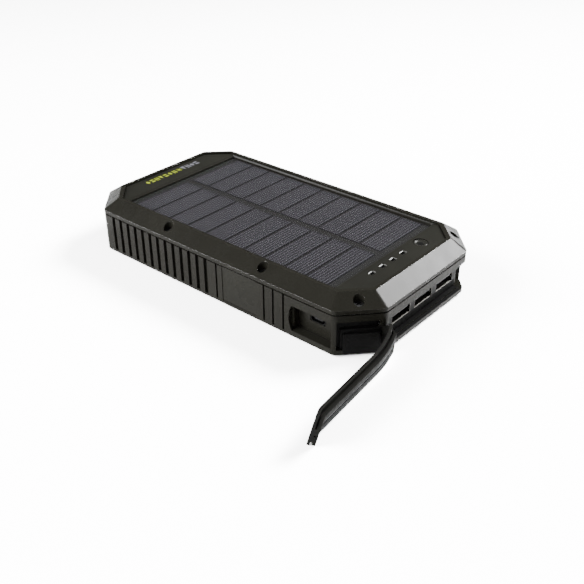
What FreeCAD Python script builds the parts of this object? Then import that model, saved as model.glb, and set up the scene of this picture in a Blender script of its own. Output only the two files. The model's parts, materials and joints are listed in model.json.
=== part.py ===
"""Rugged solar power bank with a swing-out rubber port cover.

Frame: millimetres, +Z up, +X towards the end with the USB sockets, -Y the long side with
the micro-USB recess.  The origin is the centre of the flat base.

The port cover is drawn closed, in its recess, and is then turned about its flex lines into
the open pose that the parts are written in.  cover_flex_lines() gives those axes.
"""
import FreeCAD, Part
import math
import os

from FreeCAD import Rotation, Vector

# ---------------------------------------------------------------- driving dimensions
HALF_LENGTH = 82.5
HALF_WIDTH = 45.0
CORNER_X = 14.1            # how much of the end each cut corner takes, along X
CORNER_Y = 15.1            # and along Y
CORNER_RADIUS = 3.5        # rounding of the upright edges

SHELL_TOP = 19.2
SHELL_WALL = 2.2
SHELL_FLOOR = 2.2
FRONT_WALL = 4.6           # the wall is thicker where the port cover sits in it
FRONT_WALL_START = 70.5
BASE_CHAMFER = 1.3

BEZEL_BOTTOM = 19.9
BEZEL_SHOULDER = 21.5      # where the sloping top edge starts
BEZEL_TOP = 26.1
RIM_HALF_X = 75.4
RIM_HALF_Y = 38.2
RIM_CORNER = 10.4
WINDOW_HALF_X = 73.8
WINDOW_HALF_Y = 36.7
WINDOW_CORNER = 9.9
LEDGE_WIDTH = 2.4
LEDGE_BOTTOM = 21.2
TRAY_BOTTOM = 22.4
TRAY_TOP = 25.3
TRAY_GAP = 0.35

SOLAR_WINDOW_X = 61.0      # half size of the opening in the tray
SOLAR_WINDOW_Y = 35.5
SOLAR_BEVEL = 1.6
SOLAR_FLOOR = 22.9
SOLAR_HALF_X = 60.4
SOLAR_HALF_Y = 35.1
CELL_ROWS = 2
CELLS_PER_ROW = 10
CELL_PITCH = 11.45
CELL_GAP = 0.7
CELL_ROW_GAP = 3.4
CELL_END_Y = 34.3

LED_X = 66.0
LED_Y = [-16.9, -9.5, -2.2, 5.1]
LED_SLOT = (1.15, 1.6)     # half size of each lamp's opening
BUTTON_X = 66.6
BUTTON_Y = 17.6
BUTTON_R = 3.1
BUTTON_HOLE_R = 3.4
BUTTON_TOP = 25.0
BUTTON_FLANGE_R = 4.1
BOARD_TOP = 19.6           # the little board under the lamps and the button

GROOVE_FIRST_X = -61.8
GROOVE_PITCH = 5.05
GROOVE_COUNT = 13
GROOVE_WIDTH = 2.0
GROOVE_DEPTH = 1.2
GROOVE_LOW = 2.4           # the grooves are open at the top edge
LINE_GROOVES_X = [5.3, 32.5, 37.5, 43.0]
LINE_GROOVE_WIDTH = 1.0
LINE_GROOVE_DEPTH = 0.8
FLAT_PANEL = (8.6, 27.7)   # the plain panel between the grooves, sunk a little
FLAT_PANEL_DEPTH = 0.25

SCREW_SIDE_X = 28.2
SCREW_SIDE_Y = 40.6
SCREW_CORNER = (72.8, 35.0)
SCREW_HEAD_R = 2.0
SCREW_HOLE_R = 2.3
SCREW_SHANK_R = 1.1
SCREW_SEAT = 20.6
SCREW_TIP = 8.0

RECESS_LOW = 3.2           # outer, shallow part of the cover's recess
RECESS_HIGH = 16.3
RECESS_DEPTH = 1.5
OPENING_LOW = 3.9          # inner, deep part
OPENING_HIGH = 14.1
OPENING_DEPTH = 3.5
RECESS_START_Y = -27.6
RECESS_PAST_CORNER = 7.8
PORT_OPENING_Y = (-25.6, 28.0)

PORT_FACE_X = HALF_LENGTH - OPENING_DEPTH
PORT_PITCH = 16.4
PORT_MIDDLE_Y = 2.6
PORT_Z = 10.5
USB_IN_W, USB_IN_H = 12.5, 5.12
USB_WALL = 0.3
USB_DEPTH = 14.0
TONGUE_W, TONGUE_T, TONGUE_L = 11.1, 1.84, 8.8

MICRO_X = 57.0
MICRO_Z = 10.2
MICRO_RECESS_X = (47.2, 67.4)
MICRO_RECESS_Z = (3.8, 15.6)
MICRO_RECESS_DEPTH = 5.0
MICRO_W, MICRO_H, MICRO_L = 7.5, 2.5, 5.2
MICRO_FACE_Y = MICRO_RECESS_DEPTH - HALF_WIDTH
SCOOP_R = 12.0
SCOOP_DEPTH = 1.9

PCB_TOP = 7.6
PCB_THICK = 1.6
CELL_THICK = 7.4
CELL_X = (-73.5, 38.0)
CELL_HALF_Y = 34.5
LEAD_R = 0.55

COVER_SKIN = (0.1, 1.2)    # depths below the case's outer surface
COVER_WEB = (1.2, 1.9)
COVER_BLOCK = (1.9, 3.2)
COVER_SKIN_Z = (3.5, 15.9)
COVER_WEB_Z = (5.4, 12.6)
COVER_BLOCK_Z = (4.2, 13.8)
COVER_LAYERS = [(COVER_SKIN, COVER_SKIN_Z), (COVER_WEB, COVER_WEB_Z), (COVER_BLOCK, COVER_BLOCK_Z)]
COVER_TIP = 6.4            # length of the tip beyond the bent corner
ROOT_DEPTH = (1.4, 2.25)   # the fixed plate at the cover's root
NECK_DEPTH = (0.9, 2.5)
NECK_Z = (4.6, 13.4)
FLEX_Y = [-26.6, -22.9, -11.4]
FLEX_GAP = 0.15
MITRE = 0.42               # how far each layer stops short of the bent corner, per depth


# ---------------------------------------------------------------- outlines and helpers
def octagon(half_x, half_y, cut_x, cut_y):
    """Corner points of a rectangle with cut corners, anticlockwise from the +X end."""
    return [(half_x, cut_y - half_y), (half_x, half_y - cut_y),
            (half_x - cut_x, half_y), (cut_x - half_x, half_y),
            (-half_x, half_y - cut_y), (-half_x, cut_y - half_y),
            (cut_x - half_x, -half_y), (half_x - cut_x, -half_y)]


def inset(points, amount):
    """The same convex outline with every side moved inwards."""
    moved = []
    count = len(points)
    for i in range(count):
        sides = []
        for a, b in ((points[i - 1], points[i]), (points[i], points[(i + 1) % count])):
            dx, dy = b[0] - a[0], b[1] - a[1]
            length = math.hypot(dx, dy)
            nx, ny = -dy / length, dx / length
            sides.append((nx, ny, nx * a[0] + ny * a[1] + amount))
        (a1, b1, c1), (a2, b2, c2) = sides
        det = a1 * b2 - a2 * b1
        moved.append(((c1 * b2 - c2 * b1) / det, (a1 * c2 - a2 * c1) / det))
    return moved


def outline_wire(points, radius, z):
    """A closed wire through the points at height z, its corners rounded."""
    count = len(points)
    corners = [Vector(x, y, z) for x, y in points]
    spans = []
    for i, corner in enumerate(corners):
        back = (corners[i - 1] - corner).normalize()
        ahead = (corners[(i + 1) % count] - corner).normalize()
        half = back.getAngle(ahead) / 2
        reach = radius / math.tan(half)
        middle = corner + (back + ahead).normalize() * (radius / math.sin(half) - radius)
        spans.append((corner + back * reach, middle, corner + ahead * reach))
    edges = []
    for i, (start, middle, end) in enumerate(spans):
        if radius > 0:
            edges.append(Part.Arc(start, middle, end).toShape())
        edges.append(Part.LineSegment(end, spans[(i + 1) % count][0]).toShape())
    return Part.Wire(edges)


def prism(points, low, high, radius=0.0):
    face = Part.Face(outline_wire(points, radius, low))
    return face.extrude(Vector(0, 0, high - low))


def taper(low_points, low_radius, low, high_points, high_radius, high):
    wires = [outline_wire(low_points, low_radius, low),
             outline_wire(high_points, high_radius, high)]
    return Part.makeLoft(wires, True, True)


def block(x, y, z):
    """A box from its (low, high) pairs."""
    return Part.makeBox(x[1] - x[0], y[1] - y[0], z[1] - z[0], Vector(x[0], y[0], z[0]))


def post(x, y, radius, low, high):
    return Part.makeCylinder(radius, high - low, Vector(x, y, low))


def tube(x, y, outer, inner, low, high):
    return post(x, y, outer, low, high).cut(post(x, y, inner, low - 1, high + 1))


def wire_lead(points):
    """A round lead through the points, with rounded bends."""
    corners = [Vector(*p) for p in points]
    runs = [Part.makeCylinder(LEAD_R, (end - start).Length, start, end - start)
            for start, end in zip(corners, corners[1:])]
    bends = [Part.makeSphere(LEAD_R, corner) for corner in corners[1:-1]]
    return runs[0].fuse(runs[1:] + bends).removeSplitter()


CASE = octagon(HALF_LENGTH, HALF_WIDTH, CORNER_X, CORNER_Y)
RIM = octagon(RIM_HALF_X, RIM_HALF_Y, RIM_CORNER, RIM_CORNER)
WINDOW = octagon(WINDOW_HALF_X, WINDOW_HALF_Y, WINDOW_CORNER, WINDOW_CORNER)
LEFT_CORNER = [Vector(*CASE[7], 0), Vector(*CASE[0], 0)]
RIGHT_CORNER = [Vector(*CASE[1], 0), Vector(*CASE[2], 0)]


def wall_slab(start, end, along, depth, z):
    """A box set in an upright wall that runs from start to end.

    along is measured from start, depth inwards from the wall's outer surface."""
    run = (end - start).normalize()
    inward = Vector(-run.y, run.x, 0)
    corners = [start + run * a + inward * d
               for a, d in ((along[0], depth[0]), (along[1], depth[0]),
                            (along[1], depth[1]), (along[0], depth[1]))]
    ring = Part.makePolygon([Vector(c.x, c.y, z[0]) for c in corners + corners[:1]])
    return Part.Face(ring).extrude(Vector(0, 0, z[1] - z[0]))


def end_slab(y, depth, z):
    """A box set in the flat end wall, between two Y places."""
    return block((HALF_LENGTH - depth[1], HALF_LENGTH - depth[0]), y, z)


# ---------------------------------------------------------------- lower shell
def cavity():
    rear = prism(inset(CASE, SHELL_WALL), SHELL_FLOOR, SHELL_TOP + 1, 2.0)
    front = prism(inset(CASE, FRONT_WALL), SHELL_FLOOR, SHELL_TOP + 1, 1.0)
    beyond = block((FRONT_WALL_START, HALF_LENGTH), (-HALF_WIDTH, HALF_WIDTH), (0, SHELL_TOP + 2))
    return rear.cut(beyond).fuse(front)


def screw_places():
    sides = [(x, y) for x in (-SCREW_SIDE_X, SCREW_SIDE_X) for y in (-SCREW_SIDE_Y, SCREW_SIDE_Y)]
    corners = [(SCREW_CORNER[0], y) for y in (-SCREW_CORNER[1], SCREW_CORNER[1])]
    return sides + corners


def board_posts():
    return [(50.0, 30.0), (50.0, -26.0), (70.0, -26.0)]


def side_grooves(side):
    """The grip grooves of one long side; side is +1 or -1."""
    wall = side * HALF_WIDTH
    cuts = []
    for i in range(GROOVE_COUNT):
        x = GROOVE_FIRST_X + i * GROOVE_PITCH
        cuts.append((x, GROOVE_WIDTH, GROOVE_DEPTH))
    cuts += [(x, LINE_GROOVE_WIDTH, LINE_GROOVE_DEPTH) for x in LINE_GROOVES_X]
    cuts.append((sum(FLAT_PANEL) / 2, FLAT_PANEL[1] - FLAT_PANEL[0], FLAT_PANEL_DEPTH))
    shapes = []
    for x, width, depth in cuts:
        y = sorted((wall - side * depth, wall + side))
        shapes.append(block((x - width / 2, x + width / 2), y, (GROOVE_LOW, SHELL_TOP + 1)))
    return shapes


def cover_recess():
    """Everything that the port cover and its root need cut out of the lower shell."""
    v2, v3 = LEFT_CORNER[1], RIGHT_CORNER[0]
    right = (v3, RIGHT_CORNER[1])
    left = LEFT_CORNER
    left_length = (left[1] - left[0]).Length
    outer = (RECESS_LOW, RECESS_HIGH)
    inner = (OPENING_LOW, OPENING_HIGH)
    return [
        end_slab((RECESS_START_Y, v3.y), (-1, RECESS_DEPTH), outer),
        wall_slab(*right, (0, RECESS_PAST_CORNER), (-1, RECESS_DEPTH), outer),
        end_slab((v2.y, v3.y), (-1, OPENING_DEPTH), inner),
        wall_slab(*right, (0, RECESS_PAST_CORNER - 0.9), (-1, OPENING_DEPTH), inner),
        wall_slab(*left, (1.4, left_length - 2.2), (-1, ROOT_DEPTH[1] + 0.05), outer),
        wall_slab(*left, (left_length - 3.0, left_length), (-1, 3.3), inner),
        block((PORT_FACE_X - 3, HALF_LENGTH), PORT_OPENING_Y, inner),
    ]


def micro_recess():
    x, z = MICRO_RECESS_X, MICRO_RECESS_Z
    wall = -HALF_WIDTH
    deep = block(x, (wall - 1, wall + MICRO_RECESS_DEPTH), z)
    middle = Vector(x[0] + SCOOP_R - 1.4, wall - 1, sum(z) / 2)
    scoop = Part.makeCylinder(SCOOP_R, 1 + SCOOP_DEPTH, middle, Vector(0, 1, 0))
    scoop = scoop.common(block((x[0] - 5, sum(x) / 2), (wall - 2, wall + 3), z))
    return deep.fuse(scoop)


def lower_shell():
    body = prism(CASE, BASE_CHAMFER, SHELL_TOP, CORNER_RADIUS)
    foot = taper(inset(CASE, BASE_CHAMFER), CORNER_RADIUS - 0.6, 0, CASE, CORNER_RADIUS, BASE_CHAMFER)
    body = body.fuse(foot).cut(cavity())
    x, z = MICRO_RECESS_X, MICRO_RECESS_Z
    depth = MICRO_RECESS_DEPTH + 1.6
    pocket = block((x[0] - 4, x[1] + 1.6), (-HALF_WIDTH + 1, -HALF_WIDTH + depth), (1, z[1] + 1.6))
    adds = [pocket]
    for px, py in screw_places():
        adds.append(post(px, py, 3.4, 1, SHELL_TOP - 0.2))
    for px, py in board_posts():
        adds.append(post(px, py, 2.6, 1, PCB_TOP - PCB_THICK))
    body = body.fuse(adds)
    body = body.common(prism(CASE, 0, SHELL_TOP, CORNER_RADIUS))
    cuts = cover_recess() + [micro_recess()] + side_grooves(1) + side_grooves(-1)
    cuts.append(block((MICRO_X - MICRO_W / 2 - 0.15, MICRO_X + MICRO_W / 2 + 0.15),
                      (-HALF_WIDTH, -HALF_WIDTH + depth + 1),
                      (MICRO_Z - MICRO_H / 2 - 0.15, MICRO_Z + MICRO_H / 2 + 0.15)))
    for px, py in screw_places():
        cuts.append(post(px, py, SCREW_SHANK_R, SCREW_TIP - 0.5, SHELL_TOP + 1))
    for px, py in board_posts():
        cuts.append(post(px, py, 0.9, 3.0, PCB_TOP))
    for y in (-20.0, 20.0):
        cuts.append(block((-HALF_LENGTH + 1.0, -HALF_LENGTH + 3), (y - 4.2, y + 4.2), (15.8, 18.2)))
    body = body.cut(cuts)
    return body.removeSplitter()


# ---------------------------------------------------------------- top cover
def top_bezel():
    ring = prism(CASE, BEZEL_BOTTOM, BEZEL_SHOULDER, CORNER_RADIUS)
    slope = taper(CASE, CORNER_RADIUS, BEZEL_SHOULDER, RIM, 1.6, BEZEL_TOP)
    body = ring.fuse(slope)
    inside = prism(inset(CASE, 2.2), BEZEL_BOTTOM - 1, LEDGE_BOTTOM, 2.0)
    ledge_hole = prism(inset(WINDOW, LEDGE_WIDTH), LEDGE_BOTTOM - 1, BEZEL_TOP, 1.0)
    seat = prism(WINDOW, TRAY_BOTTOM - 0.05, BEZEL_TOP + 1, 1.2)
    body = body.cut([inside, ledge_hole, seat])
    bosses = [post(px, py, 3.3, BEZEL_BOTTOM, BEZEL_TOP) for px, py in screw_places()]
    bosses = bosses[0].fuse(bosses[1:]).common(ring.fuse(slope)).cut(seat)
    body = body.fuse(bosses)
    for y in (-20.0, 20.0):
        hook = block((-HALF_LENGTH + 2.4, -HALF_LENGTH + 3.8), (y - 4, y + 4), (16.0, LEDGE_BOTTOM + 0.4))
        catch = block((-HALF_LENGTH + 1.2, -HALF_LENGTH + 2.5), (y - 4, y + 4), (16.0, 17.9))
        body = body.fuse([hook, catch])
    cuts = []
    for px, py in screw_places():
        cuts.append(post(px, py, SCREW_HOLE_R, SCREW_SEAT, BEZEL_TOP + 1))
        cuts.append(post(px, py, SCREW_SHANK_R + 0.15, BEZEL_BOTTOM - 1, SCREW_SEAT + 1))
    return body.cut(cuts).removeSplitter()


def seal_ring():
    outer = prism(inset(CASE, 0.9), SHELL_TOP, BEZEL_BOTTOM, CORNER_RADIUS)
    return outer.cut(prism(inset(CASE, 2.0), SHELL_TOP - 1, BEZEL_BOTTOM + 1, 2.4))


def case_screws():
    screws = []
    for px, py in screw_places():
        head = post(px, py, SCREW_HEAD_R, SCREW_SEAT, SCREW_SEAT + 1.6)
        slot_a = block((px - 1.25, px + 1.25), (py - 0.24, py + 0.24), (SCREW_SEAT + 0.7, SCREW_SEAT + 2))
        slot_b = block((px - 0.24, px + 0.24), (py - 1.25, py + 1.25), (SCREW_SEAT + 0.7, SCREW_SEAT + 2))
        shank = post(px, py, SCREW_SHANK_R, SCREW_TIP, SCREW_SEAT)
        screws.append(head.cut([slot_a, slot_b]).fuse(shank))
    return Part.makeCompound(screws)


def rectangle(half_x, half_y):
    return [(half_x, -half_y), (half_x, half_y), (-half_x, half_y), (-half_x, -half_y)]


def lamp_block(y, grow, low, high):
    """A block the size of one lamp's opening, grown on every side."""
    half_x, half_y = LED_SLOT[0] + grow, LED_SLOT[1] + grow
    return block((LED_X - half_x, LED_X + half_x), (y - half_y, y + half_y), (low, high))


def solar_tray():
    """The octagonal plate in the window: label strip, solar recess and lamp strip."""
    body = prism(inset(WINDOW, TRAY_GAP), TRAY_BOTTOM, TRAY_TOP, 1.0)
    recess = prism(rectangle(SOLAR_WINDOW_X, SOLAR_WINDOW_Y), SOLAR_FLOOR, TRAY_TOP + 1, 0.8)
    bevel = taper(rectangle(SOLAR_WINDOW_X, SOLAR_WINDOW_Y), 0.8, TRAY_TOP - 0.6,
                  rectangle(SOLAR_WINDOW_X + SOLAR_BEVEL, SOLAR_WINDOW_Y + 0.3), 0.8, TRAY_TOP + 0.01)
    cuts = [recess, bevel]
    cuts += [lamp_block(y, 0, TRAY_BOTTOM - 1, TRAY_TOP + 1) for y in LED_Y]
    cuts.append(post(BUTTON_X, BUTTON_Y, BUTTON_HOLE_R, TRAY_BOTTOM - 1, TRAY_TOP + 1))
    cuts.append(block((-53, -47), (-3, 3), (TRAY_BOTTOM - 1, TRAY_TOP)))
    return body.cut(cuts)


def solar_tape():
    ring = prism(rectangle(SOLAR_HALF_X - 1, SOLAR_HALF_Y - 1), SOLAR_FLOOR, SOLAR_FLOOR + 0.2)
    return ring.cut(prism(rectangle(SOLAR_HALF_X - 7, SOLAR_HALF_Y - 7), SOLAR_FLOOR - 1, SOLAR_FLOOR + 1))


def solar_board():
    return prism(rectangle(SOLAR_HALF_X, SOLAR_HALF_Y), SOLAR_FLOOR + 0.2, SOLAR_FLOOR + 1.0, 0.6)


def solar_cells():
    low = SOLAR_FLOOR + 1.0
    cells = []
    for side in (-1, 1):
        y = sorted((side * CELL_ROW_GAP / 2, side * CELL_END_Y))
        for i in range(CELLS_PER_ROW):
            middle = (i - (CELLS_PER_ROW - 1) / 2) * CELL_PITCH
            half = (CELL_PITCH - CELL_GAP) / 2
            cells.append(block((middle - half, middle + half), y, (low, low + 0.15)))
    return Part.makeCompound(cells)


def solar_film():
    """The clear resin sheet over the cells, with the cells' pockets in its underside."""
    low = SOLAR_FLOOR + 1.0
    sheet = prism(rectangle(SOLAR_HALF_X, SOLAR_HALF_Y), low, low + 0.35, 0.6)
    return sheet.cut(solar_cells())


# ---------------------------------------------------------------- lamps and power button
def lamp_lenses():
    pipes = []
    for y in LED_Y:
        stem = lamp_block(y, -0.05, TRAY_BOTTOM - 0.05, TRAY_TOP - 0.5)
        foot = lamp_block(y, 0.7, TRAY_BOTTOM - 1.4, TRAY_BOTTOM - 0.05)
        pipes.append(stem.fuse(foot))
    return Part.makeCompound(pipes)


def lamp_board():
    return block((61.5, 71.0), (-21.0, 23.0), (BOARD_TOP - 1.0, BOARD_TOP))


def lamps():
    return Part.makeCompound([block((LED_X - 0.8, LED_X + 0.8), (y - 0.4, y + 0.4),
                                    (BOARD_TOP, BOARD_TOP + 0.8)) for y in LED_Y])


def power_button():
    cap = post(BUTTON_X, BUTTON_Y, BUTTON_R, TRAY_BOTTOM - 0.9, BUTTON_TOP)
    flange = post(BUTTON_X, BUTTON_Y, BUTTON_FLANGE_R, TRAY_BOTTOM - 0.9, TRAY_BOTTOM - 0.3)
    mark = tube(BUTTON_X, BUTTON_Y, 1.9, 1.35, BUTTON_TOP - 0.25, BUTTON_TOP + 1)
    mark = mark.cut(block((BUTTON_X, BUTTON_X + 3), (BUTTON_Y - 0.8, BUTTON_Y + 0.8),
                          (BUTTON_TOP - 2, BUTTON_TOP + 2)))
    stroke = block((BUTTON_X + 0.7, BUTTON_X + 2.3), (BUTTON_Y - 0.3, BUTTON_Y + 0.3),
                   (BUTTON_TOP - 0.25, BUTTON_TOP + 1))
    return cap.fuse(flange).cut([mark, stroke])


def switch_body():
    body = block((BUTTON_X - 2.2, BUTTON_X + 2.2), (BUTTON_Y - 2.2, BUTTON_Y + 2.2),
                 (BOARD_TOP, BOARD_TOP + 1.0))
    return body.cut(post(BUTTON_X, BUTTON_Y, 1.0, BOARD_TOP + 0.05, BOARD_TOP + 2))


def switch_plunger():
    return post(BUTTON_X, BUTTON_Y, 0.95, BOARD_TOP + 0.65, TRAY_BOTTOM - 0.92)


# ---------------------------------------------------------------- sockets
def port_places():
    return [PORT_MIDDLE_Y + k * PORT_PITCH for k in (-1, 0, 1)]


def port_plate():
    y, z = PORT_OPENING_Y, (OPENING_LOW, OPENING_HIGH)
    pad = block((PORT_FACE_X - 1.1, PORT_FACE_X), (y[0] + 0.05, y[1] - 0.05), (z[0] + 0.05, z[1] - 0.05))
    flange = block((PORT_FACE_X - 2.6, PORT_FACE_X - 1.1), (y[0] - 1.8, y[1] - 0.3), (z[0] - 1.2, z[1] + 2))
    holes = []
    for middle in port_places():
        half_w, half_h = USB_IN_W / 2 + USB_WALL + 0.1, USB_IN_H / 2 + USB_WALL + 0.1
        holes.append(block((PORT_FACE_X - 5, PORT_FACE_X + 1), (middle - half_w, middle + half_w),
                           (PORT_Z - half_h, PORT_Z + half_h)))
    return pad.fuse(flange).cut(holes)


def usb_shell(middle):
    half_w, half_h = USB_IN_W / 2, USB_IN_H / 2
    front = PORT_FACE_X - 0.25
    outer = block((front - USB_DEPTH, front), (middle - half_w - USB_WALL, middle + half_w + USB_WALL),
                  (PORT_Z - half_h - USB_WALL, PORT_Z + half_h + USB_WALL))
    inner = block((front - USB_DEPTH + USB_WALL, front + 1), (middle - half_w, middle + half_w),
                  (PORT_Z - half_h, PORT_Z + half_h))
    return outer.cut(inner)


def usb_tongue(middle):
    half_w = USB_IN_W / 2
    front = PORT_FACE_X - 0.5
    back = PORT_FACE_X - 0.25 - USB_DEPTH + USB_WALL
    top = PORT_Z + USB_IN_H / 2 - 0.7
    tongue = block((back, front), (middle - TONGUE_W / 2, middle + TONGUE_W / 2), (top - TONGUE_T, top))
    root = block((back, front - TONGUE_L - 0.6), (middle - half_w, middle + half_w),
                 (PORT_Z - USB_IN_H / 2, PORT_Z + USB_IN_H / 2))
    return tongue.fuse(root)


def usb_contacts():
    strips = []
    top = PORT_Z + USB_IN_H / 2 - 0.7 - TONGUE_T
    for middle in port_places():
        for k, length in ((-3.5, 7.4), (-1.0, 6.6), (1.0, 6.6), (3.5, 7.4)):
            front = PORT_FACE_X - 1.0
            y = (middle + k - 0.5, middle + k + 0.5)
            strips.append(block((front - length, front), y, (top - 0.15, top)))
    return Part.makeCompound(strips)


def micro_outline(grow, y):
    """The socket's mouth: wide at the top, its lower corners cut."""
    w, h, cut = MICRO_W / 2 + grow, MICRO_H / 2 + grow, 0.9
    points = [(-w, h), (w, h), (w, -h + cut), (w - cut, -h), (-w + cut, -h), (-w, -h + cut)]
    ring = [Vector(MICRO_X + x, y, MICRO_Z + z) for x, z in points]
    return Part.Face(Part.makePolygon(ring + ring[:1]))


def micro_usb_shell():
    front = MICRO_FACE_Y + 0.05
    outer = micro_outline(0, front).extrude(Vector(0, MICRO_L, 0))
    inner = micro_outline(-0.28, front - 1).extrude(Vector(0, MICRO_L + 1 - 0.4, 0))
    return outer.cut(inner)


def micro_usb_tongue():
    front = MICRO_FACE_Y + 0.5
    back = MICRO_FACE_Y + 0.05 + MICRO_L - 0.4
    return block((MICRO_X - 2.0, MICRO_X + 2.0), (front, back), (MICRO_Z + 0.05, MICRO_Z + 0.65))


# ---------------------------------------------------------------- electronics and cells
def main_board():
    low = PCB_TOP - PCB_THICK
    board = block((43.0, 76.2), (-36.0, 36.0), (low, PCB_TOP))
    board = board.common(prism(inset(CASE, FRONT_WALL + 0.5), low, PCB_TOP, 1.0))
    holes = [post(x, y, 1.1, 0, PCB_TOP + 1) for x, y in board_posts()]
    corners = [post(x, y, 3.8, 0, PCB_TOP + 1) for x, y in screw_places()]
    return board.cut(holes + corners)


def micro_board():
    """The riser that lifts the micro-USB socket to its recess."""
    z = (PCB_TOP + 0.02, MICRO_Z - MICRO_H / 2 - 0.02)
    return block((MICRO_X - 6.5, MICRO_X + 6.5), (MICRO_FACE_Y + 1.7, MICRO_FACE_Y + 9.0), z)


def board_screws():
    return Part.makeCompound([post(x, y, 1.8, PCB_TOP, PCB_TOP + 1.2).fuse(
        post(x, y, 0.9, 3.0, PCB_TOP)) for x, y in board_posts()])


def board_chips():
    low = PCB_TOP
    chips = [block((52, 59), (2, 9), (low, low + 1.0)), block((46, 51), (-12, -7), (low, low + 1.6)),
             block((55, 60), (-20, -15), (low, low + 1.2)), block((46, 49), (18, 22), (low, low + 1.4))]
    return Part.makeCompound(chips)


def inductor():
    low = PCB_TOP
    return block((46.0, 53.0), (11.0, 17.5), (low, low + 4.2))


def capacitors():
    return Part.makeCompound([post(x, y, 2.5, PCB_TOP, PCB_TOP + 5.4)
                              for x, y in ((58.0, 27.0), (58.0, 32.6), (58.5, -26.0))])


def battery_cell(level):
    low = SHELL_FLOOR + 0.6 + level * (CELL_THICK + 0.8)
    corners = [(CELL_X[1], -CELL_HALF_Y), (CELL_X[1], CELL_HALF_Y),
               (CELL_X[0], CELL_HALF_Y), (CELL_X[0], -CELL_HALF_Y)]
    return prism(corners, low, low + CELL_THICK, 2.0)


def battery_pads():
    pads = [block((-70, 32), (-32, 32), (SHELL_FLOOR, SHELL_FLOOR + 0.6)),
            block((-70, 32), (-32, 32), (SHELL_FLOOR + 0.6 + CELL_THICK, SHELL_FLOOR + 1.4 + CELL_THICK))]
    top = SHELL_FLOOR + 1.4 + 2 * CELL_THICK
    pads += [block((-70, 32), (y - 4, y + 4), (top, TRAY_BOTTOM)) for y in (-20, 20)]
    return Part.makeCompound(pads)


def battery_leads():
    """Four short leads, two from each cell, to the main board."""
    leads = []
    pad = PCB_TOP + 0.02
    for level in (0, 1):
        z = SHELL_FLOOR + 0.6 + level * (CELL_THICK + 0.8) + CELL_THICK / 2
        for y in (-6.0 + level * 27.0, -4.0 + level * 27.0):
            leads.append(wire_lead([(CELL_X[1] + 0.02, y, z), (40.5, y, z), (41.2, y, 10.5),
                                    (45.0, y, 10.5), (45.0, y, pad)]))
    return Part.makeCompound(leads)


def solar_leads():
    """The pair from the solar board, through the tray and over the cells, to the main board."""
    leads = []
    for y in (-1.5, 1.5):
        leads.append(wire_lead([(-50, y, SOLAR_FLOOR + 0.18), (-50, y, 20.4), (42.0, y, 20.4),
                                (45.0, y, 17.0), (45.0, y, PCB_TOP + 0.02)]))
    return Part.makeCompound(leads)


def lamp_cable():
    """The flat cable from the lamp board down to the main board."""
    return block((61.9, 62.5), (-14.0, -8.0), (PCB_TOP, BOARD_TOP - 1.0))


# ---------------------------------------------------------------- port cover, drawn closed
def cover_root():
    """The fixed end of the cover, seated in the left corner's recess."""
    length = (LEFT_CORNER[1] - LEFT_CORNER[0]).Length
    plate = wall_slab(*LEFT_CORNER, (1.6, length - 2.4), ROOT_DEPTH, COVER_SKIN_Z)
    neck = wall_slab(*LEFT_CORNER, (length - 2.9, length - 1.25), NECK_DEPTH, NECK_Z)
    return plate.fuse(neck)


def flex_places():
    """Plan positions of the five flex lines with the cover closed."""
    outer = NECK_DEPTH[0]
    corner = inset(CASE, outer)[0]
    line_x = HALF_LENGTH - COVER_SKIN[0] - 0.2
    return [corner, (HALF_LENGTH - outer, FLEX_Y[0]), (line_x, FLEX_Y[1]), (line_x, FLEX_Y[2]),
            (line_x, RIGHT_CORNER[0].y)]


def neck_link():
    return end_slab((flex_places()[0][1] + 0.85, FLEX_Y[0] - FLEX_GAP), NECK_DEPTH, NECK_Z)


def neck_strap():
    return end_slab((FLEX_Y[0] + FLEX_GAP, FLEX_Y[1] - FLEX_GAP), NECK_DEPTH, NECK_Z)


def cover_section(y_low, y_high):
    """A straight length of the cover: outer skin, web and the block that seals the sockets."""
    groove_z = sum(COVER_BLOCK_Z) / 2
    bent = y_high > RIGHT_CORNER[0].y - 1
    layers = []
    for depth, z in COVER_LAYERS:
        layers.append(end_slab((y_low, y_high - MITRE * depth[1] * bent), depth, z))
    groove = end_slab((y_low - 1, y_high + 1), (COVER_BLOCK[1] - 0.4, COVER_BLOCK[1] + 1),
                      (groove_z - 0.45, groove_z + 0.45))
    return layers[0].fuse(layers[1:]).cut(groove)


def cover_strap():
    return cover_section(FLEX_Y[1] + FLEX_GAP, FLEX_Y[2] - FLEX_GAP)


def cover_flap():
    return cover_section(FLEX_Y[2] + FLEX_GAP, RIGHT_CORNER[0].y - 0.15 - FLEX_GAP)


def cover_tip():
    """The end of the cover, which bends round the right corner when it is closed."""
    v3, v4 = RIGHT_CORNER
    start = 0.15 + FLEX_GAP
    layers = []
    for depth, z in COVER_LAYERS:
        layers.append(wall_slab(v3, v4, (start + MITRE * depth[1], COVER_TIP), depth, z))
    return layers[0].fuse(layers[1:])


def cover_flex_lines():
    """Each flex line closed: its point, its opening axis and its opening angle in degrees.

    The first two and the last turn about upright lines.  The other two also let the strip
    sag and lean, as it does when it hangs out from its root."""
    turns = [(0, 0, -80.0), (0, 0, -70.0), (-4.0, -8.4, -15.1), (-2.1, -6.2, -10.3), (0, 0, -22.0)]
    lines = []
    for (x, y), turn in zip(flex_places(), turns):
        axis = Vector(*turn)
        angle = axis.Length
        lines.append((Vector(x, y, 9.0), axis.normalize(), angle))
    return lines


def opened(shape, count):
    """The shape carried by the first count flex lines, fully open."""
    moved = shape.copy()
    for point, axis, angle in reversed(cover_flex_lines()[:count]):
        moved.rotate(point, axis, angle)
    return moved


def opened_line(index):
    """A flex line's point and axis in the open pose."""
    point, axis, angle = cover_flex_lines()[index]
    for centre, line, turn in reversed(cover_flex_lines()[:index]):
        rotation = Rotation(line, turn)
        point = centre + rotation.multVec(point - centre)
        axis = rotation.multVec(axis)
    return point, axis, angle


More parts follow.
